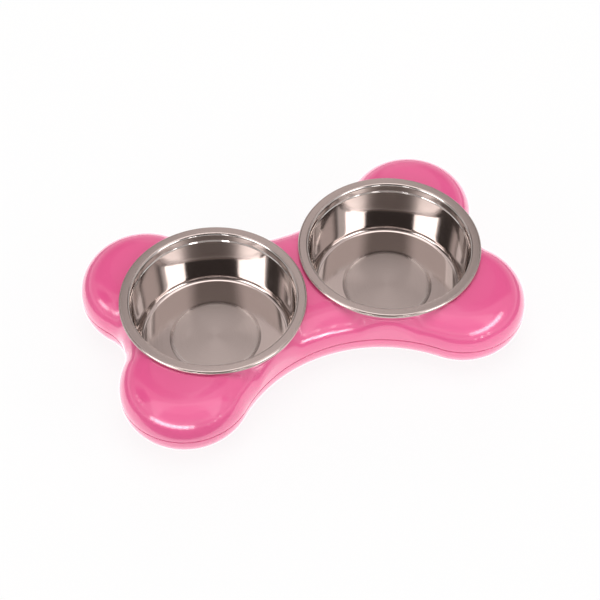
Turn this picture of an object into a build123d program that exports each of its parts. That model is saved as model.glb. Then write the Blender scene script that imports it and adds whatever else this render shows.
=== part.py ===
from build123d import *
import os
from math import atan2, degrees, hypot

os.makedirs("parts", exist_ok=True)

# Double pet bowl: a bone-shaped hollow stand in two plastic shells, with two lift-out steel bowls.
# Millimetres. +X runs along the bone, +Z is up, the origin is on the floor below the stand's centre.

# Steel bowl
rim_radius = 75.0  # outermost radius of the rolled rim
roll_radius = 1.9  # outside radius of the rolled edge
steel = 0.8  # sheet thickness
bowl_depth = 49.6  # middle of the rolled edge down to the inside of the floor
rim_width = 8.7  # inside of the straight neck to the outermost of the rolled edge
neck_bend = 2.2  # bend from the neck to the flat of the rim
crease_drop = 5.3  # middle of the rolled edge down to the crease below the neck
crease_step = 0.8  # how far the wall steps in at the crease
crease_fall = 1.2  # height of that step
crease_bend = 1.2
wall_draw = 4.3  # how far the wall draws in from the neck to the floor
floor_bend = 4.5  # inside bend from the floor to the wall
floor_ring = 24.5  # flat ring between the pressed disc and the foot of the wall
floor_disc_height = 0.4
floor_disc_ramp = 2.0
floor_disc_bend = 1.5
roll_turn = 225.0  # how far round the edge is rolled, in degrees

# Places of the bowls and clearances round them
rim_gap = 2.8  # between the two rims
hole_clearance = 1.2  # between the neck and the hole in the top shell
seat_gap = 0.3  # below the rolled edge
rim_overhang = 1.8  # how far the rolled edge reaches past its round seat
bowl_ground_gap = 2.6  # between the bowl and the floor of the bottom shell

# Bone outline
lobe_radius = 52.65
lobe_reach = 42.1  # bowl axis to lobe centre, along X
lobe_parting = 0.3  # between the front and the rear lobe, behind the notch
waist_inset = 17.2  # rim radius less half the waist
notch_margin = 2.1  # rim to the bottom of the notch at each end

# Shells
wall = 2.5
shoulder_radius = 27.5  # rounding of the top shell's edge
base_radius = 21.5  # rounding of the bottom shell's edge
edge_straight = 0.6  # least upright edge between a rounding and the seam
seam_gap = 0.7  # shadow gap between the shells
lip_thickness = 1.1  # locating lip on the bottom shell
lip_height = 4.0
lip_clearance = 0.2
collar_wall = 3.0  # collar that hangs from each bowl hole
collar_height = 14.0

# Screws and the bosses they join
screw_radius = 1.75
screw_length = 16.0
screw_tip = 3.0
head_radius = 3.4
head_height = 2.4
head_round = 1.2
cross_length = 4.0  # cross recess in the head
cross_width = 0.9
cross_depth = 1.3
thread_clearance = 0.05
shank_clearance = 0.25
head_clearance = 0.9
head_recess = 5.5  # depth of the counterbore
clamp_thickness = 3.0  # plastic between the head and the boss
boss_radius = 4.5
boss_gap = 4.0  # between a bowl's seat and a boss
pilot_spare = 2.0  # pilot hole past the screw's tip
post_wall = 1.6

# Rubber feet
foot_radius = 9.0
foot_thickness = 4.0
foot_recess = 1.5
foot_clearance = 0.2
foot_edge = 1.0
foot_web = 4.0  # between a foot's edge and a screw's counterbore

# Heights worked out from the floor up
bottom_plane = foot_thickness - foot_recess
tray_floor = bottom_plane + wall
bowl_floor = tray_floor + bowl_ground_gap + steel
rim_plane = bowl_floor + bowl_depth
top_plane = rim_plane - roll_radius - seat_gap
upper_edge = top_plane - shoulder_radius - edge_straight
seam = upper_edge - seam_gap
base_rounding = min(base_radius, seam - bottom_plane - edge_straight)
collar_bottom = top_plane - collar_height
inside_wall = wall / 2  # depth at which an added boss or collar joins a wall

# Places worked out in plan
bowl_x = rim_radius + rim_gap / 2
neck_radius = rim_radius - rim_width
wall_foot_radius = neck_radius - wall_draw
floor_disc_radius = wall_foot_radius - floor_ring
hole_radius = neck_radius + steel + hole_clearance
seat_radius = rim_radius - rim_overhang
lobe_x = bowl_x + lobe_reach
lobe_y = lobe_radius + lobe_parting / 2
waist = rim_radius - waist_inset
notch = bowl_x + rim_radius + notch_margin
bowl_places = [(-bowl_x, 0), (bowl_x, 0)]

# The lobes join by arcs that touch them: a wide one along each side and a small one at each end
side_radius = (lobe_x**2 + (waist - lobe_y) ** 2 - lobe_radius**2) / (2 * (lobe_radius - waist + lobe_y))
end_radius = (lobe_y**2 + (notch - lobe_x) ** 2 - lobe_radius**2) / (2 * (lobe_radius - notch + lobe_x))
side_turn = degrees(atan2(lobe_x, waist + side_radius - lobe_y))
end_turn = degrees(atan2(lobe_y, notch + end_radius - lobe_x))

# Screws and feet stand on the line from each bowl's axis through its lobes
post_radius = head_radius + head_clearance + post_wall
lobe_distance = hypot(lobe_reach, lobe_y)
screw_distance = seat_radius + boss_gap + boss_radius
foot_distance = screw_distance - head_radius - head_clearance - foot_web - foot_radius
screw_share = screw_distance / lobe_distance
foot_share = foot_distance / lobe_distance
head_seat = bottom_plane + head_recess
post_top = head_seat + clamp_thickness
sides = {"left": -1, "right": 1}
ends = {"front": -1, "rear": 1}
screw_places = [(0, -waist + shoulder_radius), (0, waist - shoulder_radius)]
foot_places = {}
for side, sx in sides.items():
    for end, sy in ends.items():
        screw_places.append((sx * (bowl_x + lobe_reach * screw_share), sy * lobe_y * screw_share))
        foot_places[f"{side}_{end}"] = (sx * (bowl_x + lobe_reach * foot_share), sy * lobe_y * foot_share)


def bone_face(inset, height):
    """The bone's outline, drawn in by inset, on a level plane."""
    with BuildSketch(Plane.XY.offset(height)) as face:
        with BuildLine():
            CenterArc((0, waist + side_radius), side_radius + inset, -90, side_turn)
            CenterArc((lobe_x, lobe_y), lobe_radius - inset, -end_turn, 90 + side_turn + end_turn)
            CenterArc((notch + end_radius, 0), end_radius + inset, 180 - end_turn, end_turn)
            mirror(about=Plane.XZ)
            mirror(about=Plane.YZ)
        make_face()
    return face.sketch


def bone_block(inset, bottom, top, rounding, rounded_end):
    """A solid bone between two levels, with its lowest (0) or highest (-1) edge rounded."""
    with BuildPart() as block:
        extrude(bone_face(inset, bottom), amount=top - bottom)
        fillet(block.edges().group_by(Axis.Z)[rounded_end], radius=rounding)
    return block.part


def discs(places, radius, height):
    """Round faces at the given places, on a level plane."""
    with BuildSketch(Plane.XY.offset(height)) as faces:
        with Locations(*places):
            Circle(radius)
    return faces.sketch


# Top shell: rounded bone with a round seat, hole and hanging collar for each bowl, and screw bosses
lip_inset = wall - lip_thickness
rebate_top = seam + lip_height + lip_clearance
pilot_top = head_seat + screw_length + pilot_spare
with BuildPart() as top_shell:
    add(bone_block(0, upper_edge, top_plane, shoulder_radius, -1))
    extrude(discs(bowl_places, seat_radius, upper_edge), amount=top_plane - upper_edge)
    cavity = bone_block(wall, upper_edge, top_plane - wall, shoulder_radius - wall, -1)
    add(cavity, mode=Mode.SUBTRACT)
    rebate = bone_face(lip_inset - lip_clearance, upper_edge)
    extrude(rebate, amount=rebate_top - upper_edge, mode=Mode.SUBTRACT)
    collars = discs(bowl_places, hole_radius + collar_wall, collar_bottom)
    extrude(collars, amount=collar_height - inside_wall)
    bosses = discs(screw_places, boss_radius, post_top)
    extrude(bosses, amount=top_plane - inside_wall - post_top)
    holes = discs(bowl_places, hole_radius, upper_edge)
    extrude(holes, amount=top_plane - upper_edge, mode=Mode.SUBTRACT)
    pilots = discs(screw_places, screw_radius + thread_clearance, post_top)
    extrude(pilots, amount=pilot_top - post_top, mode=Mode.SUBTRACT)
top_shell.part.label = "top_shell"
export_step(top_shell.part, "parts/top_shell.step")

# Bottom shell: tray with a locating lip, counterbored screw posts and recesses for the feet
with BuildPart() as bottom_shell:
    add(bone_block(0, bottom_plane, seam, base_rounding, 0))
    extrude(bone_face(lip_inset, seam), amount=lip_height)
    hollow = bone_block(wall, tray_floor, seam + lip_height, base_rounding - wall, 0)
    add(hollow, mode=Mode.SUBTRACT)
    posts = discs(screw_places, post_radius, bottom_plane + inside_wall)
    extrude(posts, amount=post_top - bottom_plane - inside_wall)
    shanks = discs(screw_places, screw_radius + shank_clearance, bottom_plane)
    extrude(shanks, amount=post_top - bottom_plane, mode=Mode.SUBTRACT)
    counterbores = discs(screw_places, head_radius + head_clearance, bottom_plane)
    extrude(counterbores, amount=head_recess, mode=Mode.SUBTRACT)
    foot_seats = discs(foot_places.values(), foot_radius + foot_clearance, bottom_plane)
    extrude(foot_seats, amount=foot_recess, mode=Mode.SUBTRACT)
bottom_shell.part.label = "bottom_shell"
export_step(bottom_shell.part, "parts/bottom_shell.step")

# Steel bowls: one pressed sheet, from the floor up the wall to a flat rim with a rolled edge
crest = rim_plane + roll_radius
roll_centre = rim_radius - roll_radius
for side, sx in sides.items():
    section = Plane((sx * bowl_x, 0, 0), x_dir=(1, 0, 0), z_dir=(0, -1, 0))
    with BuildPart() as bowl:
        with BuildSketch(section):
            with BuildLine():
                FilletPolyline(
                    (0, bowl_floor + floor_disc_height),
                    (floor_disc_radius - floor_disc_ramp, bowl_floor + floor_disc_height),
                    (floor_disc_radius, bowl_floor),
                    (wall_foot_radius, bowl_floor),
                    (neck_radius - crease_step, rim_plane - crease_drop - crease_fall),
                    (neck_radius, rim_plane - crease_drop),
                    (neck_radius, crest),
                    (roll_centre, crest),
                    radius=[floor_disc_bend, floor_disc_bend, floor_bend, crease_bend, crease_bend, neck_bend],
                )
                CenterArc((roll_centre, rim_plane), roll_radius, 90, -roll_turn)
                offset(amount=steel, side=Side.RIGHT)
            make_face()
        revolve(axis=Axis(section.origin, (0, 0, 1)))
    bowl.part.label = f"bowl_{side}"
    export_step(bowl.part, f"parts/bowl_{side}.step")

# Rubber feet, one glued in the recess under each lobe
for place, (x, y) in foot_places.items():
    with BuildPart() as foot:
        with BuildSketch(Plane((x, y, 0))):
            Circle(foot_radius)
        extrude(amount=foot_thickness)
        fillet(foot.edges().group_by(Axis.Z)[0], radius=foot_edge)
    foot.part.label = f"foot_{place}"
    export_step(foot.part, f"parts/foot_{place}.step")

# Self-tapping screws with a cross recess, driven up through the posts into the bosses
with BuildPart() as screw:
    with BuildSketch(Plane.XZ):
        with BuildLine():
            FilletPolyline(
                (0, head_seat - head_height),
                (head_radius, head_seat - head_height),
                (head_radius, head_seat),
                radius=head_round,
            )
            Polyline(
                (head_radius, head_seat),
                (screw_radius, head_seat),
                (screw_radius, head_seat + screw_length - screw_tip),
                (0, head_seat + screw_length),
                (0, head_seat - head_height),
            )
        make_face()
    revolve(axis=Axis.Z)
    with BuildSketch(Plane.XY.offset(head_seat - head_height)):
        Rectangle(cross_length, cross_width)
        Rectangle(cross_width, cross_length)
    extrude(amount=cross_depth, mode=Mode.SUBTRACT)
with BuildPart() as screws:
    with Locations(*screw_places):
        add(screw.part)
screws.part.label = "screws"
export_step(screws.part, "parts/screws.step")
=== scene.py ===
from math import atan2, cos, pi, radians, sin, tan

import bmesh
import bpy
import numpy as np
from mathutils import Matrix, Vector


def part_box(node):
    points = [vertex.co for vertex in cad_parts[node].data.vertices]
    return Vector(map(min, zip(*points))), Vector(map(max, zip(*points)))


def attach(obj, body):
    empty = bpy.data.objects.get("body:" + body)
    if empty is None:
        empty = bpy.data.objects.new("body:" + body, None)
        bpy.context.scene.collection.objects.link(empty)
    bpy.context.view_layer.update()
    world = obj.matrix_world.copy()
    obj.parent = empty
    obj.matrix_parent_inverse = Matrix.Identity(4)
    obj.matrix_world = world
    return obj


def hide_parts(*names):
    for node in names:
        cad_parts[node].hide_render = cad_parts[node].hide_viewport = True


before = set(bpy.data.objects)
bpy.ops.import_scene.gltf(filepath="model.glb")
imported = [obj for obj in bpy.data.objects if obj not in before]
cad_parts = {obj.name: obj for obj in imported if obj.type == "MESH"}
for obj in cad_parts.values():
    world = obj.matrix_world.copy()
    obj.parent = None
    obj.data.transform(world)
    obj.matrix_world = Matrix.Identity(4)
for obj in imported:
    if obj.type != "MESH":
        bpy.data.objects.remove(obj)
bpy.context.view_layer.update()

# Bottom shell: the tray below the seam, injection moulded in glossy pink plastic.
# Its upright lip locates the top shell, its posts take the screws and its underside the feet.
# The outline is a bone: four round lobes joined by arcs that touch them.
tray_low, tray_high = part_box("bottom_shell")
bowl_low, bowl_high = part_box("bowl_right")
screws_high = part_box("screws")[1]
rim_radius = (bowl_high.y - bowl_low.y) / 2
bowl_x = (bowl_high.x + bowl_low.x) / 2
lobe_radius = 0.05265
lobe_x = tray_high.x - lobe_radius
lobe_y = tray_high.y - lobe_radius
waist = rim_radius - 0.0172
notch = bowl_x + rim_radius + 0.0021
outline_step = 0.0022
wall = 0.0025
edge_round = 0.0004
edge_steps = 4
arc_steps = 20
sliver = 1e-6  # edges shorter than this are dissolved after a cut


def bone_outline():
    """Points of the outline and the outward direction at each, round from the right-hand notch."""
    side_radius = (lobe_x**2 + (waist - lobe_y) ** 2 - lobe_radius**2) / (2 * (lobe_radius - waist + lobe_y))
    end_radius = (lobe_y**2 + (notch - lobe_x) ** 2 - lobe_radius**2) / (2 * (lobe_radius - notch + lobe_x))
    side_turn = atan2(lobe_x, waist + side_radius - lobe_y)
    end_turn = atan2(lobe_y, notch + end_radius - lobe_x)
    arcs = [
        ((notch + end_radius, 0), end_radius, pi, pi - end_turn, -1),
        ((lobe_x, lobe_y), lobe_radius, -end_turn, pi / 2 + side_turn, 1),
        ((0, waist + side_radius), side_radius, side_turn - pi / 2, -pi / 2, -1),
    ]
    points = []
    outward = []
    for centre, radius, start, end, bulge in arcs:
        steps = round(radius * abs(end - start) / outline_step)
        turn = np.linspace(start, end, steps, endpoint=False)
        ray = np.stack([np.cos(turn), np.sin(turn)], axis=1)
        points.append(centre + radius * ray)
        outward.append(bulge * ray)
    rounds = []
    for quarter, last in ((np.concatenate(points), (0, waist)), (np.concatenate(outward), (0, 1))):
        mirrored = np.vstack([quarter, last])[:0:-1] * (-1, 1)
        half = np.vstack([quarter, mirrored])
        rounds.append(np.vstack([half, -half]))
    return rounds


outline, outward = bone_outline()


def bone_ring(inset, height):
    """The outline as a level ring of points, drawn in by inset."""
    plan = outline - outward * inset
    return np.column_stack([plan, np.full(len(plan), height)])


def bone_rings(profile):
    """Rings for a profile of (inset, height) pairs."""
    return [bone_ring(inset, height) for inset, height in profile]


def round_rings(x, y, profile, segments):
    """Level circles about an upright axis, for a profile of (radius, height) pairs."""
    turn = np.arange(segments) * 2 * pi / segments
    circle = np.stack([np.cos(turn), np.sin(turn), np.zeros(segments)], axis=1)
    return [circle * radius + (x, y, height) for radius, height in profile]


def arc(across, height, radius, start, end, steps=arc_steps):
    """Points of an arc in a profile, from a start angle to an end angle in degrees."""
    turn = np.radians(np.linspace(start, end, steps + 1))
    return list(zip(across + radius * np.cos(turn), height + radius * np.sin(turn)))


def closed_bodies(name, bodies):
    """One object of closed bodies, each a stack of rings of points, its first and last ring capped."""
    points = []
    faces = []
    for rings in bodies:
        count = len(rings[0])
        low = len(points)
        points.extend(np.concatenate(rings).tolist())
        faces.append(range(low, low + count)[::-1])
        for row in range(low, len(points) - count, count):
            for i in range(count):
                j = (i + 1) % count
                faces.append((row + i, row + j, row + count + j, row + count + i))
        faces.append(range(len(points) - count, len(points)))
    mesh = bpy.data.meshes.new(name)
    mesh.from_pydata(points, [], faces)
    made = bpy.data.objects.new(name, mesh)
    bpy.context.scene.collection.objects.link(made)
    return made


def discs(name, places, radius, low, high, segments=64):
    """Upright round bodies at the given places."""
    profile = [(radius, low), (radius, high)]
    return closed_bodies(name, [round_rings(x, y, profile, segments) for x, y in places])


def worked(base, steps):
    """Joins bodies to the base or cuts them from it, step by step."""
    for action, tool in steps:
        step = base.modifiers.new(action, "BOOLEAN")
        step.operation = {"join": "UNION", "cut": "DIFFERENCE"}[action]
        step.solver = "MANIFOLD"
        step.object = tool
    view = bpy.context.evaluated_depsgraph_get()
    mesh = bpy.data.meshes.new_from_object(base.evaluated_get(view))
    mesh.materials.clear()
    work = bmesh.new()
    work.from_mesh(mesh)
    bmesh.ops.dissolve_degenerate(work, dist=sliver, edges=work.edges)
    work.to_mesh(mesh)
    work.free()
    base.modifiers.clear()
    base.data = mesh
    for action, tool in steps:
        bpy.data.objects.remove(tool)


def smoothed(piece, crease=35):
    """Smooth shading up to a crease angle in degrees, with normals that follow the large faces."""
    piece.data.shade_smooth()
    piece.data.set_sharp_from_angle(angle=radians(crease))
    even = piece.modifiers.new("even_normals", "WEIGHTED_NORMAL")
    even.keep_sharp = True


lip_height = 0.004
lip_inset = 0.0014
seam = tray_high.z - lip_height
tray_bottom = tray_low.z
base_radius = 0.0215
screw_head = 0.0034
screw_counterbore = screw_head + 0.0009
screw_post = screw_counterbore + 0.0016
screw_shank_hole = 0.002
head_seat = tray_bottom + 0.0055
post_top = head_seat + 0.003
foot_seat_radius = 0.0092
foot_seat_top = tray_bottom + 0.0015
spare = 0.001  # how far a cutting body reaches past the face that it opens
shoulder_radius = 0.0275
screw_places = [(0, waist - shoulder_radius), (0, shoulder_radius - waist)]
for sx in (-1, 1):
    for sy in (-1, 1):
        screw_places.append((sx * (screws_high.x - screw_head), sy * (screws_high.y - screw_head)))
foot_names = [f"foot_{side}_{end}" for side in ("left", "right") for end in ("front", "rear")]
foot_places = [(sum(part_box(name), Vector()) / 2).xy for name in foot_names]

base_curve = arc(base_radius, tray_bottom + base_radius, -base_radius, 90, 0)
seam_curve = arc(edge_round, seam - edge_round, -edge_round, 0, -90, edge_steps)
hollow_curve = arc(base_radius, tray_bottom + base_radius, wall - base_radius, 90, 0)
tray = closed_bodies("tray", [bone_rings(base_curve + seam_curve)])
lip = closed_bodies("lip", [bone_rings([(lip_inset, seam - spare), (lip_inset, tray_high.z)])])
hollow = closed_bodies("hollow", [bone_rings(hollow_curve + [(wall, tray_high.z + spare)])])
worked(
    tray,
    [
        ("join", lip),
        ("cut", hollow),
        ("join", discs("posts", screw_places, screw_post, tray_bottom + wall / 2, post_top)),
        ("cut", discs("shank_holes", screw_places, screw_shank_hole, tray_bottom, post_top + spare)),
        ("cut", discs("counterbores", screw_places, screw_counterbore, tray_bottom - spare, head_seat)),
        ("cut", discs("foot_seats", foot_places, foot_seat_radius, tray_bottom - spare, foot_seat_top)),
    ],
)
smoothed(tray)


def add_node(tree, kind, values=None, **settings):
    """A shader node; each value is a plain one or the socket that feeds it."""
    made = tree.nodes.new(kind)
    for setting, value in settings.items():
        setattr(made, setting, value)
    for socket, value in (values or {}).items():
        if isinstance(value, bpy.types.NodeSocket):
            tree.links.new(value, made.inputs[socket])
        else:
            made.inputs[socket].default_value = value
    return made


def maths(tree, operation, *values):
    """The result of a sum on plain values or sockets."""
    return add_node(tree, "ShaderNodeMath", dict(enumerate(values)), operation=operation).outputs[0]


def noise(tree, place, scale, detail):
    """Soft noise from 0 to 1 over a place."""
    values = {"Vector": place, "Scale": scale, "Detail": detail}
    return add_node(tree, "ShaderNodeTexNoise", values).outputs["Fac"]


def shaded(tree, value, first, second, low=0.0, high=1.0):
    """A colour that runs from the first to the second as the value goes from low to high."""
    ramp = add_node(tree, "ShaderNodeValToRGB", {"Fac": value})
    for stop, position, colour in zip(ramp.color_ramp.elements, (low, high), (first, second)):
        stop.position = position
        stop.color = colour
    return ramp.outputs["Color"]


def raised(tree, shader, height, strength, distance):
    """Gives the shader bump from a height."""
    values = {"Height": height, "Strength": strength, "Distance": distance}
    bump = add_node(tree, "ShaderNodeBump", values)
    tree.links.new(bump.outputs["Normal"], shader.inputs["Normal"])


def new_group(name, inputs, outputs):
    """An empty shader node group with named inputs and outputs."""
    group = bpy.data.node_groups.new(name, "ShaderNodeTree")
    for socket, (kind, value) in inputs.items():
        made = group.interface.new_socket(socket, in_out="INPUT", socket_type=kind)
        made.default_value = value
    for socket, kind in outputs.items():
        group.interface.new_socket(socket, in_out="OUTPUT", socket_type=kind)
    return group, group.nodes.new("NodeGroupInput"), group.nodes.new("NodeGroupOutput")


def handling_wear():
    """Smudges and hairline scratches from use: a roughness that varies, and a height for bump."""
    group, given, put = new_group(
        "handling_wear",
        {
            "Roughness": ("NodeSocketFloat", 0.2),
            "Smudges": ("NodeSocketFloat", 0.05),
            "Scratches": ("NodeSocketFloat", 0.1),
        },
        {"Roughness": "NodeSocketFloat", "Height": "NodeSocketFloat"},
    )
    place = add_node(group, "ShaderNodeTexCoord").outputs["Object"]
    smudge = maths(group, "SUBTRACT", noise(group, place, scale=45.0, detail=4.0), 0.5)
    uneven = maths(group, "MULTIPLY", smudge, given.outputs["Smudges"])
    wander = add_node(group, "ShaderNodeTexNoise", {"Vector": place, "Scale": 9.0, "Detail": 2.0})
    drift = {0: wander.outputs["Color"], "Scale": 0.06}
    drifted = add_node(group, "ShaderNodeVectorMath", drift, operation="SCALE").outputs[0]
    swept = add_node(group, "ShaderNodeVectorMath", {0: place, 1: drifted}, operation="ADD").outputs[0]
    stretch = {"Vector": swept, "Scale": (40.0, 900.0, 200.0)}
    stretched = add_node(group, "ShaderNodeMapping", stretch).outputs[0]
    hairline = {"Value": noise(group, stretched, scale=1.0, detail=1.0), "From Min": 0.68, "From Max": 0.74}
    scratch = add_node(group, "ShaderNodeMapRange", hairline).outputs[0]
    marks = maths(group, "MULTIPLY", scratch, given.outputs["Scratches"])
    smudged = maths(group, "ADD", given.outputs["Roughness"], uneven)
    group.links.new(maths(group, "ADD", smudged, marks), put.inputs["Roughness"])
    group.links.new(marks, put.inputs["Height"])
    return group


wear = handling_wear()


def new_material(name):
    """An empty node material with its shader already on the output."""
    material = bpy.data.materials.new(name)
    material.use_nodes = True
    tree = material.node_tree
    return material, tree, tree.nodes["Principled BSDF"]


def place_wear(tree, roughness, smudges, scratches):
    """The wear group with this material's own values."""
    placed = tree.nodes.new("ShaderNodeGroup")
    placed.node_tree = wear
    placed.inputs["Roughness"].default_value = roughness
    placed.inputs["Smudges"].default_value = smudges
    placed.inputs["Scratches"].default_value = scratches
    return placed


def pink_plastic():
    """Glossy pink moulding, slightly uneven in tint and with the faint ripple of a mould wall."""
    deep_pink = (0.775, 0.092, 0.268, 1)
    light_pink = (0.81, 0.11, 0.3, 1)
    material, tree, shader = new_material("pink_plastic")
    place = add_node(tree, "ShaderNodeTexCoord").outputs["Object"]
    flow = noise(tree, place, scale=14.0, detail=3.0)
    tint = shaded(tree, flow, deep_pink, light_pink, low=0.3, high=0.7)
    tree.links.new(tint, shader.inputs["Base Color"])
    shader.inputs["IOR"].default_value = 1.58
    shader.inputs["Coat Weight"].default_value = 1.0
    shader.inputs["Coat Roughness"].default_value = 0.045
    worn = place_wear(tree, roughness=0.2, smudges=0.06, scratches=0.05)
    tree.links.new(worn.outputs["Roughness"], shader.inputs["Roughness"])
    raised(tree, shader, noise(tree, place, scale=30.0, detail=1.0), strength=0.03, distance=0.002)
    return material


plastic = pink_plastic()
tray.data.materials.append(plastic)
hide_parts("bottom_shell")
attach(tray, "stand")


# Feet: four soft rubber discs, moulded with a matt skin and glued into recesses under the lobes.
# They hold the stand off the ground and stop it from sliding.
def foot_rubber():
    """Matt black rubber with a fine grain and greyed patches."""
    black = (0.045, 0.045, 0.048, 1)
    grey = (0.075, 0.075, 0.078, 1)
    material, tree, shader = new_material("foot_rubber")
    place = add_node(tree, "ShaderNodeTexCoord").outputs["Object"]
    bloom = noise(tree, place, scale=120.0, detail=3.0)
    tree.links.new(shaded(tree, bloom, black, grey), shader.inputs["Base Color"])
    worn = place_wear(tree, roughness=0.72, smudges=0.12, scratches=0.05)
    tree.links.new(worn.outputs["Roughness"], shader.inputs["Roughness"])
    raised(tree, shader, noise(tree, place, scale=1500.0, detail=2.0), strength=0.25, distance=0.0002)
    return material


rubber = foot_rubber()
for name in foot_names:
    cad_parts[name].data.materials[0] = rubber


# Screws: six self-tapping screws of zinc-plated steel, driven up through the tray's posts.
# They draw the top shell's bosses down onto the posts.
def screw_zinc():
    """Bluish zinc plating with cloudy patches and driver marks."""
    bluish = (0.48, 0.48, 0.5, 1)
    pale = (0.62, 0.62, 0.62, 1)
    material, tree, shader = new_material("screw_zinc")
    shader.inputs["Metallic"].default_value = 1.0
    place = add_node(tree, "ShaderNodeTexCoord").outputs["Object"]
    cloud = noise(tree, place, scale=400.0, detail=4.0)
    tree.links.new(shaded(tree, cloud, bluish, pale), shader.inputs["Base Color"])
    worn = place_wear(tree, roughness=0.36, smudges=0.15, scratches=0.15)
    tree.links.new(worn.outputs["Roughness"], shader.inputs["Roughness"])
    raised(tree, shader, worn.outputs["Height"], strength=0.3, distance=0.0001)
    return material


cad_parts["screws"].data.materials[0] = screw_zinc()

# Top shell: the bone's rounded upper half, moulded in the same pink plastic and screwed on from below.
# Round seats under the bowls' rims rise out of its shoulder in one flowing surface.
# Each bowl hole has a hanging collar that steadies the bowl, and each screw a boss.
top_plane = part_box("top_shell")[1].z
shoulder_height = top_plane - shoulder_radius
seam_gap = 0.0007
upper_edge = seam + seam_gap
top_ease = 0.0008
ease_steps = 6
top_margin = 0.00001  # how far under the level top the shoulder is followed
bowl_sheet = 0.0008
neck_radius = rim_radius - 0.0087
hole_radius = neck_radius + bowl_sheet + 0.0012
seat_radius = hole_radius - 0.0009
seat_lean = radians(30)
seat_bend = 0.003  # how softly a seat's wall leans in from the upright side
seat_blend = 0.008  # how softly it runs into the shoulder
least_blend = 1e-9
collar_radius = hole_radius + 0.003
collar_bottom = top_plane - 0.014
collar_top = top_plane - 0.006
boss_radius = 0.0045
pilot_radius = 0.0018
pilot_top = head_seat + 0.018
pilot_segments = 32
lip_room = lip_inset - 0.0002
lip_room_top = tray_high.z + 0.0002
shoulder_steps = 44
halvings = 40
least_turn = radians(5)
least_sine = 1e-6
longest_reach = 3 * shoulder_radius
round_segments = 192
bowl_places = [(-bowl_x, 0), (bowl_x, 0)]
pivots = outline - outward * shoulder_radius  # line that the shoulder is rounded about


def soft_least(first, second, blend):
    """The lesser of two depths, rounded over the blend where they cross."""
    share = np.clip(0.5 + 0.5 * (second - first) / blend, 0, 1)
    return second + (first - second) * share - blend * share * (1 - share)


def outside_shoulder(reach, turn):
    """How far points seen from the pivots lie outside the flowing shoulder, negative inside it."""
    level = reach * np.cos(turn)
    plan = pivots + outward * level[:, None]
    across = np.hypot(np.abs(plan[:, 0]) - bowl_x, plan[:, 1]) - seat_radius
    below = shoulder_radius - reach * np.sin(turn)
    leaning = across * cos(seat_lean) - below * sin(seat_lean)
    seat = -soft_least(-leaning, shoulder_radius - level, seat_bend)
    return soft_least(reach - shoulder_radius, seat, seat_blend * np.sin(turn) ** 2 + least_blend)


def shoulder_ring(turn, reach):
    """The ring of points at this turn and reach from the pivots."""
    plan = pivots + outward * (reach * np.cos(turn))[:, None]
    return np.column_stack([plan, shoulder_height + reach * np.sin(turn)])


def crossing(low, high, holds):
    """Where, between low and high, a test stops holding, found by halving the stretch."""
    for halving in range(halvings):
        middle = (low + high) / 2
        held = holds(middle)
        low = np.where(held, middle, low)
        high = np.where(held, high, middle)
    return high


def top_reach(turn):
    """Distance from a pivot to the plane of the level top at this turn."""
    return (shoulder_radius - top_margin) / np.maximum(np.sin(turn), least_sine)


def beyond_edge(turn):
    """Whether each pivot sees that plane outside the shoulder at this turn."""
    return outside_shoulder(top_reach(turn), turn) > 0


top_turn = crossing(np.full(len(pivots), least_turn), np.full(len(pivots), pi / 2), beyond_edge)
shoulder_rings = []
for step in range(shoulder_steps + 1):
    turn = top_turn * step / shoulder_steps
    near = np.full(len(pivots), shoulder_radius)
    far = np.maximum(np.minimum(longest_reach, top_reach(turn)), near)
    surface = crossing(near, far, lambda reach: outside_shoulder(reach, turn) <= 0)
    shoulder_rings.append(shoulder_ring(turn, surface))

# The shoulder is eased over onto the level top
edge_ring = shoulder_rings.pop()
before = edge_ring - shoulder_rings[-1]
approach = edge_ring - before * np.minimum(1, top_ease / np.linalg.norm(before, axis=1))[:, None]
inward = np.column_stack([-outward, np.zeros(len(outward))])
landing = edge_ring + inward * top_ease
for share in np.linspace(0, 1, edge_steps + 1):
    bent = 2 * edge_ring * share * (1 - share)
    shoulder_rings.append(approach * (1 - share) ** 2 + bent + landing * share**2)

lower_curve = arc(edge_round, upper_edge + edge_round, -edge_round, 90, 0, edge_steps)
cover = closed_bodies("cover", [bone_rings(lower_curve) + shoulder_rings])
cavity_curve = [(wall, upper_edge - spare)]
cavity_curve += arc(shoulder_radius, shoulder_height, wall - shoulder_radius, 0, -90)
cavity = closed_bodies("cavity", [bone_rings(cavity_curve)])
rebate = closed_bodies("rebate", [bone_rings([(lip_room, upper_edge - spare), (lip_room, lip_room_top)])])
hole_curve = [(hole_radius, upper_edge - spare)]
hole_curve += arc(hole_radius + top_ease, top_plane - top_ease, top_ease, 180, 90, ease_steps)
hole_curve += [(hole_radius + top_ease, top_plane + spare)]
holes = closed_bodies("holes", [round_rings(x, y, hole_curve, round_segments) for x, y in bowl_places])
worked(
    cover,
    [
        ("cut", cavity),
        ("cut", rebate),
        ("join", discs("collars", bowl_places, collar_radius, collar_bottom, collar_top, round_segments)),
        ("join", discs("bosses", screw_places, boss_radius, post_top, top_plane - wall / 2)),
        ("cut", holes),
        ("cut", discs("pilots", screw_places, pilot_radius, post_top - spare, pilot_top, pilot_segments)),
    ],
)
smoothed(cover)
cover.data.materials.append(plastic)
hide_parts("top_shell")
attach(cover, "stand")

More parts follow.
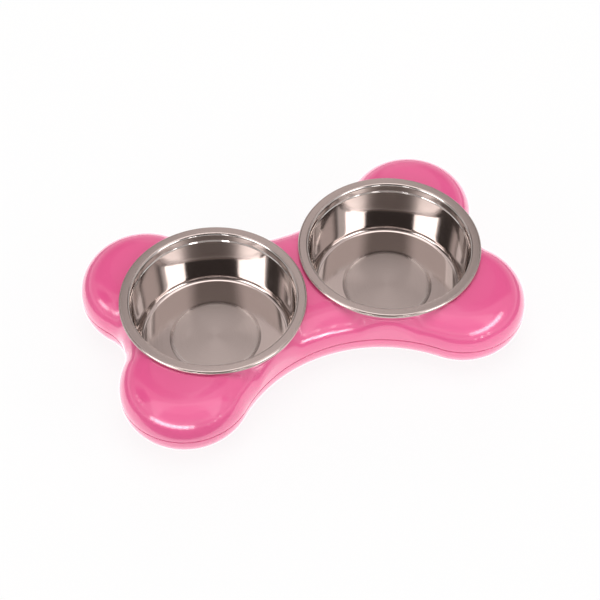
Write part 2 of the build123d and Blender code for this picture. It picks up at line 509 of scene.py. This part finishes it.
# Bowls: two loose bowls, each pressed from one stainless sheet with its edge rolled under.
# Wall and floor ring are polished, the pressed disc in the floor and the rim are satin.
# They lie on the seats by their rims and lift straight out.
rim_crest = bowl_high.z
rim_bend = 0.0022
roll_radius = 0.0019
roll_turn = 225
roll_steps = 24
rim_plane = rim_crest - roll_radius
bowl_floor = rim_plane - 0.0496
crease_drop = 0.0053
crease_step = 0.0008
crease_fall = 0.0012
crease_bend = 0.0012
wall_foot = neck_radius - 0.0043
foot_bend = 0.0045
disc_radius = wall_foot - 0.0245
disc_ramp = 0.004
disc_height = 0.0004
disc_bend = 0.008
pole = 0.0006  # radius of the small flat face on the axis
longest_run = 0.004
bowl_segments = 224


def bent_line(points, bends, steps=9):
    """A line through points (across, height) with each inner corner bent to its radius."""
    line = [Vector(points[0])]
    for before, here, after, bend in zip(points, points[1:], points[2:], bends):
        here = Vector(here)
        back = (Vector(before) - here).normalized()
        on = (Vector(after) - here).normalized()
        half = back.angle(on) / 2
        reach = bend / tan(half)
        centre = here + (back + on).normalized() * (bend / sin(half))
        first = here + back * reach - centre
        sweep = first.angle_signed(here + on * reach - centre)
        for step in range(steps + 1):
            line.append(centre + Matrix.Rotation(-sweep * step / steps, 2) @ first)
    line.append(Vector(points[-1]))
    return line


def thickened(line, thickness):
    """The same line moved to its right by the sheet's thickness."""
    moved = []
    for i, point in enumerate(line):
        along = line[min(i + 1, len(line) - 1)] - line[max(i - 1, 0)]
        moved.append(point + Vector((along.y, -along.x)).normalized() * thickness)
    return moved


def divided(line, longest):
    """The line with its long straight runs cut into shorter ones."""
    parts = [line[0]]
    for start, end in zip(line, line[1:]):
        count = max(1, int((end - start).length / longest) + 1)
        parts.extend(start.lerp(end, i / count) for i in range(1, count + 1))
    return parts


inside = bent_line(
    [
        (pole, bowl_floor + disc_height),
        (disc_radius - disc_ramp, bowl_floor + disc_height),
        (disc_radius, bowl_floor),
        (wall_foot, bowl_floor),
        (neck_radius - crease_step, rim_plane - crease_drop - crease_fall),
        (neck_radius, rim_plane - crease_drop),
        (neck_radius, rim_crest),
        (rim_radius - roll_radius, rim_crest),
    ],
    [disc_bend, disc_bend, foot_bend, crease_bend, crease_bend, rim_bend],
)
roll = arc(rim_radius - roll_radius, rim_plane, roll_radius, 90, 90 - roll_turn, roll_steps)
inside += [Vector(point) for point in roll[1:]]
inside = divided(inside, longest_run)
bowl_profile = [tuple(point) for point in thickened(inside, bowl_sheet) + inside[::-1]]


def tinted(tree, share, first, second):
    """The first colour where share is 0 and the second where it is 1."""
    return add_node(tree, "ShaderNodeMix", {0: share, 6: first, 7: second}, data_type="RGBA").outputs[2]


def bowl_steel():
    """Stainless steel: mirror-polished wall and ring, satin spun disc and rim, with drawing lines."""
    disc_roughness = 0.32
    ring_roughness = 0.12
    wall_roughness = 0.06
    rim_roughness = 0.24
    material, tree, shader = new_material("bowl_steel")
    shader.inputs["Metallic"].default_value = 1.0
    place = add_node(tree, "ShaderNodeTexCoord").outputs["Object"]
    apart = add_node(tree, "ShaderNodeSeparateXYZ", {0: place}).outputs
    level = add_node(tree, "ShaderNodeCombineXYZ", {0: apart["X"], 1: apart["Y"]}).outputs[0]
    across = add_node(tree, "ShaderNodeVectorMath", {0: level}, operation="LENGTH").outputs["Value"]
    height = apart["Z"]

    def past(value, edge, softness):
        """0 below the edge, 1 above it."""
        ramp = {"Value": value, "From Min": edge - softness, "From Max": edge + softness}
        return add_node(tree, "ShaderNodeMapRange", ramp, interpolation_type="SMOOTHSTEP").outputs[0]

    def fine_lines(value, scale):
        """Fine lines that follow one another along a value."""
        values = {"W": value, "Scale": scale, "Detail": 3.0}
        return add_node(tree, "ShaderNodeTexNoise", values, noise_dimensions="1D").outputs["Fac"]

    def mixed(share, first, second):
        """The first value where share is 0 and the second where it is 1."""
        return add_node(tree, "ShaderNodeMix", {"Factor": share, 2: first, 3: second}).outputs[0]

    on_ring = past(across, edge=disc_radius - disc_ramp / 2, softness=0.0015)
    on_wall = past(height, edge=bowl_floor + 0.003, softness=0.002)
    on_rim = past(across, edge=neck_radius + 0.0008, softness=0.0006)
    lines = mixed(on_wall, fine_lines(across, scale=900.0), fine_lines(height, scale=700.0))
    floor_rough = mixed(on_ring, disc_roughness, ring_roughness)
    rough = mixed(on_rim, mixed(on_wall, floor_rough, wall_roughness), rim_roughness)
    lined = maths(tree, "MULTIPLY", rough, mixed(lines, 0.75, 1.25))
    worn = place_wear(tree, roughness=0.0, smudges=0.03, scratches=0.015)
    tree.links.new(maths(tree, "ADD", lined, worn.outputs["Roughness"]), shader.inputs["Roughness"])
    warm = shaded(tree, lines, (0.63, 0.535, 0.503, 1), (0.69, 0.588, 0.556, 1))
    clear = shaded(tree, lines, (0.68, 0.64, 0.62, 1), (0.75, 0.71, 0.69, 1))
    inner_wall = maths(tree, "MULTIPLY", on_wall, maths(tree, "SUBTRACT", 1.0, on_rim))
    tree.links.new(tinted(tree, inner_wall, warm, clear), shader.inputs["Base Color"])
    shader.inputs["Anisotropic"].default_value = 0.3
    shader.inputs["Anisotropic Rotation"].default_value = 0.25
    round_about = add_node(tree, "ShaderNodeTangent", direction_type="RADIAL", axis="Z")
    tree.links.new(round_about.outputs[0], shader.inputs["Tangent"])
    raised(tree, shader, lines, strength=0.12, distance=0.00005)
    return material


steel = bowl_steel()
steel_pieces = bpy.data.collections.new("steel_pieces")
for side, (x, y) in zip(("left", "right"), bowl_places):
    bowl = closed_bodies(f"steel_bowl_{side}", [round_rings(0, 0, bowl_profile, bowl_segments)])
    bowl.location = (x, y, 0)
    smoothed(bowl)
    bowl.data.materials.append(steel)
    steel_pieces.objects.link(bowl)
    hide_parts(f"bowl_{side}")
    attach(bowl, f"bowl_{side}")

# Studio: a white sheet on a plain floor, in a room with pale walls that fill lamps light softly.
# The room is dark behind the camera and dim in its rear corners, which shows in the polished steel
# between two white panels. Gridded lamps give the streaks on the plastic's lobes and waist.
view_azimuth = -21.25
view_elevation = 51.23
target = Vector((-0.0125, -0.0266, 0.058))
floor_size = 40.0
sheet_low = (-0.29, -0.175)
sheet_high = (0.33, 0.6)
sheet_edge = 0.012
sheet_tone = (0.92, 0.92, 0.92, 1)
floor_tone = (0.3, 0.3, 0.3, 1)
floor_glow = 0.88  # share of plain white in the floor that is seen; the rest takes the shadow

floor_mesh = bpy.data.meshes.new("floor")
floor_corners = [Vector((x, y, 0)) * floor_size for x, y in ((-1, -1), (1, -1), (1, 1), (-1, 1))]
floor_mesh.from_pydata(floor_corners, [], [(0, 1, 2, 3)])
floor = bpy.data.objects.new("floor", floor_mesh)
floor.rotation_euler.z = radians(view_azimuth)
bpy.context.scene.collection.objects.link(floor)


def between(tree, value, low, high, fade):
    """1 between low and high, fading softly to 0 outside."""
    ramps = []
    for edge, outside in ((low, low - fade), (high, high + fade)):
        ramp = {"Value": value, "From Min": outside, "From Max": edge}
        ramps.append(add_node(tree, "ShaderNodeMapRange", ramp, interpolation_type="SMOOTHSTEP").outputs[0])
    return maths(tree, "MULTIPLY", *ramps)


def floor_paper():
    """White to the camera everywhere; the sheet by the object is white in the plastic and steel as well."""
    material = bpy.data.materials.new("floor_paper")
    material.use_nodes = True
    tree = material.node_tree
    tree.nodes.clear()
    place = add_node(tree, "ShaderNodeTexCoord").outputs["Object"]
    apart = add_node(tree, "ShaderNodeSeparateXYZ", {0: place}).outputs
    sides = [between(tree, apart[axis], sheet_low[axis], sheet_high[axis], sheet_edge) for axis in (0, 1)]
    on_sheet = maths(tree, "MULTIPLY", *sides)
    path = add_node(tree, "ShaderNodeLightPath").outputs
    mirrored = maths(tree, "MAXIMUM", path["Is Glossy Ray"], path["Is Transmission Ray"])
    seen = maths(tree, "MAXIMUM", path["Is Camera Ray"], maths(tree, "MULTIPLY", mirrored, on_sheet))
    pale = maths(tree, "MAXIMUM", on_sheet, path["Is Camera Ray"])
    paper = add_node(tree, "ShaderNodeBsdfDiffuse", {"Color": tinted(tree, pale, floor_tone, sheet_tone)})
    white = add_node(tree, "ShaderNodeEmission", {"Color": (1, 1, 1, 1), "Strength": 1.0})
    glow = maths(tree, "MULTIPLY", seen, floor_glow)
    both = add_node(tree, "ShaderNodeMixShader", {0: glow, 1: paper.outputs[0], 2: white.outputs[0]})
    add_node(tree, "ShaderNodeOutputMaterial", {"Surface": both.outputs[0]})
    return material


floor_mesh.materials.append(floor_paper())


def direction(azimuth, elevation):
    """Unit vector from the object towards an azimuth from the camera's and an elevation, in degrees."""
    turn = radians(view_azimuth + azimuth)
    level = cos(radians(elevation))
    return Vector((sin(turn) * level, -cos(turn) * level, sin(radians(elevation))))


def aim(thing, at, azimuth, elevation, distance):
    """Places a lamp or camera at a distance from a point and turns it to that point."""
    away = direction(azimuth, elevation)
    thing.location = at + away * distance
    thing.rotation_euler = (-away).to_track_quat("-Z", "Y").to_euler()


def flat_lamp(name, size, radiance, grid=180):
    """A rectangular lamp of the given radiance, behind a grid that lets light out within a spread."""
    lamp = bpy.data.lights.new(name, "AREA")
    lamp.shape = "RECTANGLE"
    lamp.size, lamp.size_y = size
    lamp.spread = radians(grid)
    half = radians(grid) / 2
    narrowing = tan(half) / (tan(half) - half)
    lamp.energy = radiance * pi * size[0] * size[1] / narrowing
    made = bpy.data.objects.new(name, lamp)
    made.visible_camera = False
    bpy.context.scene.collection.objects.link(made)
    return made


fill_size = (1.2, 1.0)
fill_distance = 1.5
for name, azimuth, elevation, radiance in (
    ("fill_above", 180, 80, 2.65),
    ("fill_left", -62, 14, 2.1),
    ("fill_right", 62, 14, 2.1),
    ("fill_rear", 180, 14, 2.0),
    ("fill_front", 0, 8, 1.6),
):
    fill = flat_lamp(name, fill_size, radiance)
    fill.visible_glossy = False
    aim(fill, target, azimuth, elevation, fill_distance)

# Panels and small glints that only the steel shows
panel_distance = 1.2
for name, azimuth, elevation, size, radiance in (
    ("panel_left", -57, 31, (0.66, 0.62), 3.0),
    ("panel_right", 54.5, 31, (0.5, 0.62), 3.0),
    ("panel_side_left", -138, 50, (0.25, 0.4), 0.8),
    ("panel_side_right", 138, 50, (0.25, 0.4), 0.8),
    ("panel_above", 180, 80, (0.9, 0.6), 1.3),
    ("glint_left", -18, 16, (0.16, 0.12), 8.0),
    ("glint_right", 21, 16, (0.2, 0.12), 8.0),
):
    panel = flat_lamp(name, size, radiance)
    panel.light_linking.receiver_collection = steel_pieces
    aim(panel, target, azimuth, elevation, panel_distance)

# Gloss that only the plastic shows: a soft front, a bright sheet below and streaks on the shoulder
plastic_pieces = bpy.data.collections.new("plastic_pieces")
for piece in (tray, cover):
    plastic_pieces.objects.link(piece)


def gloss_lamp(name, size, radiance, grid=180):
    """A lamp that only shows as a reflection in the plastic."""
    gloss = flat_lamp(name, size, radiance, grid)
    gloss.visible_diffuse = False
    gloss.light_linking.receiver_collection = plastic_pieces
    return gloss


front_elevation = 48
front_distance = 1.2
front = gloss_lamp("soft_front", (2.6, 1.5), 0.7)
aim(front, target, 0, front_elevation, front_distance)
sheet_lift = 0.0005
sheet_middle = Vector(((sheet_low[0] + sheet_high[0]) / 2, (sheet_low[1] + sheet_high[1]) / 2, sheet_lift))
sheet = gloss_lamp("bright_sheet", (sheet_high[0] - sheet_low[0], sheet_high[1] - sheet_low[1]), 0.45)
sheet.location = floor.rotation_euler.to_matrix() @ sheet_middle
sheet.rotation_euler = (pi, 0, floor.rotation_euler.z)

streak_height = shoulder_height + shoulder_radius / 2
streak_reach = 0.87 * lobe_radius
streak_distance = 0.6
streak_turn = 9  # degrees that one lamp of a streak covers
streak_overlap = 1.05
streak_grid = 18
streak_end = 0.7  # brightness of a streak's end lamps beside the others
for name, centre, reach, headings, rises, tall, strength in (
    ("left_front", (-lobe_x, -lobe_y), streak_reach, (-54, 14), (10, 6), 0.17, 11.0),
    ("right_front", (lobe_x, -lobe_y), streak_reach, (12, 84), (20, 34), 0.17, 8.0),
    ("left_rear", (-lobe_x, lobe_y), streak_reach, (-88, -64), (22, 24), 0.15, 6.0),
    ("waist", (0, -waist), 0, (22, 52), (-2, 8), 0.09, 15.0),
):
    span = headings[1] - headings[0]
    count = round(span / streak_turn)
    wide = streak_distance * streak_overlap * radians(span) / count
    for i in range(count):
        share = (i + 0.5) / count
        azimuth = headings[0] + share * span
        elevation = rises[0] + share * (rises[1] - rises[0])
        radiance = strength * (streak_end if i in (0, count - 1) else 1)
        streak = gloss_lamp(f"streak_{name}_{i}", (wide, tall), radiance, streak_grid)
        at = Vector((*centre, streak_height)) + direction(azimuth / 2, 0) * reach
        aim(streak, at, azimuth, elevation, streak_distance)


def studio_walls():
    """The room: pale walls, paler at the horizon, with faint panels, a dark end and dim rear corners."""
    wall_shades = (
        (0.0, (0.9, 0.9, 0.9, 1)),
        (0.09, (0.9, 0.9, 0.9, 1)),
        (0.2, (0.5, 0.475, 0.465, 1)),
        (0.5, (0.68, 0.625, 0.61, 1)),
        (0.95, (0.74, 0.69, 0.68, 1)),
    )
    dim_shade = (0.25, 0.225, 0.215, 1)
    corner_shade = (0.2, 0.18, 0.175, 1)
    dark_shade = (0.05, 0.045, 0.043, 1)
    panel_shade = (0.8, 0.8, 0.8, 1)
    made = bpy.data.worlds.new("studio_walls")
    made.use_nodes = True
    tree = made.node_tree
    heading = add_node(tree, "ShaderNodeTexCoord").outputs["Generated"]
    rise = add_node(tree, "ShaderNodeSeparateXYZ", {0: heading}).outputs["Z"]
    walls = add_node(tree, "ShaderNodeValToRGB", {"Fac": rise})
    for position, shade in wall_shades[1:-1]:
        walls.color_ramp.elements.new(position)
    for stop, (position, shade) in zip(walls.color_ramp.elements, wall_shades):
        stop.position = position
        stop.color = shade
    along = []
    for azimuth in (90, 0):
        axis = {0: heading, 1: direction(azimuth, 0)}
        along.append(add_node(tree, "ShaderNodeVectorMath", axis, operation="DOT_PRODUCT").outputs["Value"])
    turn = maths(tree, "DEGREES", maths(tree, "ARCTAN2", *along))
    aside = maths(tree, "ABSOLUTE", turn)
    elevation = maths(tree, "DEGREES", maths(tree, "ARCSINE", rise))
    room = walls.outputs[0]
    # Each zone's shade and, in degrees, where it starts, ends and how far it fades, round and up
    for shade, bearing, azimuths, elevations in (
        (dim_shade, turn, (-25, 25, 30), (24, 72, 10)),
        (corner_shade, aside, (122, 166, 10), (25, 75, 10)),
        (dark_shade, turn, (-98, 76, 14), (28, 46, 6)),
        (panel_shade, aside, (46, 74, 5), (22, 50, 6)),
    ):
        round_zone = between(tree, bearing, *azimuths)
        up_zone = between(tree, elevation, *elevations)
        room = tinted(tree, maths(tree, "MULTIPLY", round_zone, up_zone), room, shade)
    tree.links.new(room, tree.nodes["Background"].inputs["Color"])
    return made


bpy.context.scene.world = studio_walls()

camera_distance = 1.2135
camera = bpy.data.cameras.new("camera")
camera.lens = 91.62
camera.sensor_width = 36
viewer = bpy.data.objects.new("camera", camera)
bpy.context.scene.collection.objects.link(viewer)
aim(viewer, target, 0, view_elevation, camera_distance)
bpy.context.scene.camera = viewer
bpy.context.scene.view_settings.view_transform = "Standard"
